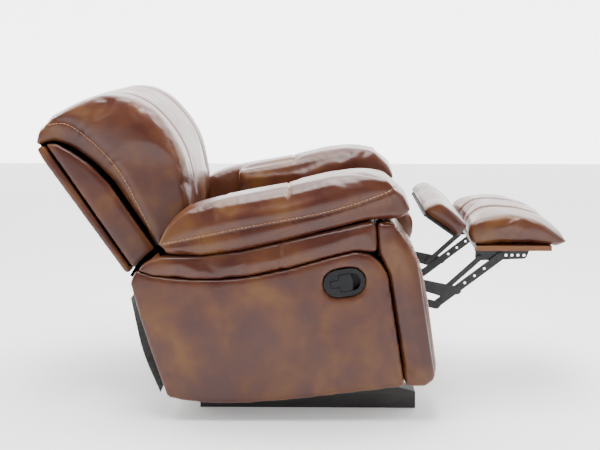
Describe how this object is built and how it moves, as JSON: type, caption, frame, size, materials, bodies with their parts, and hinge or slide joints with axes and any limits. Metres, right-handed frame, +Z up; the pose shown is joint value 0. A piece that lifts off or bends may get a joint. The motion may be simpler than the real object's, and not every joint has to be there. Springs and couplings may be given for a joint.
{
  "type": "recliner armchair",
  "caption": "Leather rocker recliner armchair with padded arms, a reclining back, a fold-out footrest on a steel linkage, a pull handle in the side, and a rocking base.",
  "frame": {"origin": "middle of the chair's footprint on the floor, with the back reclined and the footrest out", "axes": "+Z up, the chair faces -Y, the sitter's right-hand side, with the handle, is -X"},
  "size_m": [0.95, 1.5906, 0.9286],
  "materials": {
    "leather": "satin",
    "wood": "matte",
    "base_wood": "matte",
    "black_steel": "satin",
    "spring_steel": "satin",
    "black_cloth": "matte",
    "charcoal_plastic": "matte",
    "thread": "matte"
  },
  "bodies": {
    "base": {"base_rail_right": "base_wood", "base_rail_left": "base_wood", "base_cross_rail_front": "base_wood", "base_cross_rail_rear": "base_wood", "rocker_spring_right": "spring_steel", "rocker_spring_left": "spring_steel"},
    "carcass": {"rocker_cam_right": "wood", "rocker_cam_left": "wood", "arm_frame_right": "wood", "arm_frame_left": "wood", "arm_side_panel_right": "leather", "arm_side_panel_left": "leather", "arm_inner_panel_right": "leather", "arm_inner_panel_left": "leather", "arm_band_right": "leather", "arm_band_left": "leather", "arm_pad_right": "leather", "arm_pad_left": "leather", "arm_front_pad_right": "leather", "arm_front_pad_left": "leather", "rear_cross_rail": "wood", "rear_dust_cover": "black_cloth", "mechanism_plate_right": "black_steel", "mechanism_plate_left": "black_steel", "release_cable": "charcoal_plastic", "handle_bezel": "charcoal_plastic"},
    "handle": {"handle_paddle": "charcoal_plastic"},
    "seat": {"seat_rail_right": "black_steel", "seat_rail_left": "black_steel", "seat_front_rail": "black_steel", "seat_rear_rail": "black_steel", "seat_spring_mat": "spring_steel", "seat_cushion": "leather"},
    "back": {"back_stile_right": "wood", "back_stile_left": "wood", "back_bottom_rail": "wood", "back_top_rail": "wood", "back_spring_mat": "spring_steel", "back_rear_panel": "leather", "back_side_border_right": "leather", "back_side_border_left": "leather", "back_top_border": "leather", "back_cushion": "leather", "back_bracket_right": "black_steel", "back_bracket_left": "black_steel"},
    "lower_links": {"lower_link_right": "black_steel", "lower_link_left": "black_steel", "drive_tube": "black_steel"},
    "upper_links": {"upper_link_right": "black_steel", "upper_link_left": "black_steel"},
    "diagonal_links": {"diagonal_link_right": "black_steel", "diagonal_link_left": "black_steel"},
    "short_links": {"short_link_right": "black_steel", "short_link_left": "black_steel"},
    "footrest": {"footrest_bracket_right": "black_steel", "footrest_bracket_left": "black_steel", "footrest_board": "wood", "footrest_pad": "leather"},
    "middle": {"middle_board": "wood", "middle_pad": "leather"}
  },
  "joints": [
    {"name": "rock", "type": "hinge", "parent": "base", "child": "carcass", "pos_m": [0, -0.00272, 0.068], "axis": [1, 0, 0], "range_deg": [0, 8], "stiffness_Nm_per_rad": 350, "springref_deg": 5, "deforming": ["rocker_spring_right", "rocker_spring_left"]},
    {"name": "handle_pull", "type": "hinge", "parent": "carcass", "child": "handle", "pos_m": [-0.4735, -0.07227, 0.40448], "axis": [0, -0.165, -0.9863], "range_deg": [0, 35], "stiffness_Nm_per_rad": 0.3, "springref_deg": -5.73},
    {"name": "back_recline", "type": "hinge", "parent": "carcass", "child": "back", "pos_m": [0, 0.41648, 0.38467], "axis": [1, 0, 0], "range_deg": [-12, 17]},
    {"name": "seat_advance", "type": "slide", "parent": "carcass", "child": "seat", "axis": [0, -0.9962, 0.0872], "range_m": [-0.021, 0.015]},
    {"name": "footrest_fold", "type": "hinge", "parent": "seat", "child": "lower_links", "pos_m": [0, -0.19539, 0.33832], "axis": [1, 0, 0], "range_deg": [0, 108.83]},
    {"name": "upper_link_turn", "type": "hinge", "parent": "seat", "child": "upper_links", "pos_m": [0, -0.26168, 0.37574], "axis": [1, 0, 0], "range_deg": [0, 113.1]},
    {"name": "diagonal_link_turn", "type": "hinge", "parent": "lower_links", "child": "diagonal_links", "pos_m": [0, -0.3925, 0.29172], "axis": [1, 0, 0], "range_deg": [-111.4, 0]},
    {"name": "footrest_turn", "type": "hinge", "parent": "diagonal_links", "child": "footrest", "pos_m": [0, -0.58317, 0.4392], "axis": [1, 0, 0], "range_deg": [0, 84.6]},
    {"name": "short_link_turn", "type": "hinge", "parent": "upper_links", "child": "short_links", "pos_m": [0, -0.40705, 0.32964], "axis": [1, 0, 0], "range_deg": [-121.9, 0]},
    {"name": "middle_fold", "type": "hinge", "parent": "seat", "child": "middle", "pos_m": [0, -0.34186, 0.57449], "axis": [1, 0, 0], "range_deg": [0, 50.1]}
  ],
  "couplings": [
    {"joint": "upper_link_turn", "follows": "footrest_fold", "ratio": 1.0381},
    {"joint": "diagonal_link_turn", "follows": "footrest_fold", "ratio": -1.0225},
    {"joint": "footrest_turn", "follows": "footrest_fold", "ratio": 0.7758},
    {"joint": "short_link_turn", "follows": "footrest_fold", "ratio": -1.1186},
    {"joint": "middle_fold", "follows": "footrest_fold", "ratio": 0.45943},
    {"joint": "seat_advance", "follows": "back_recline", "m_per_rad": -0.0688}
  ]
}
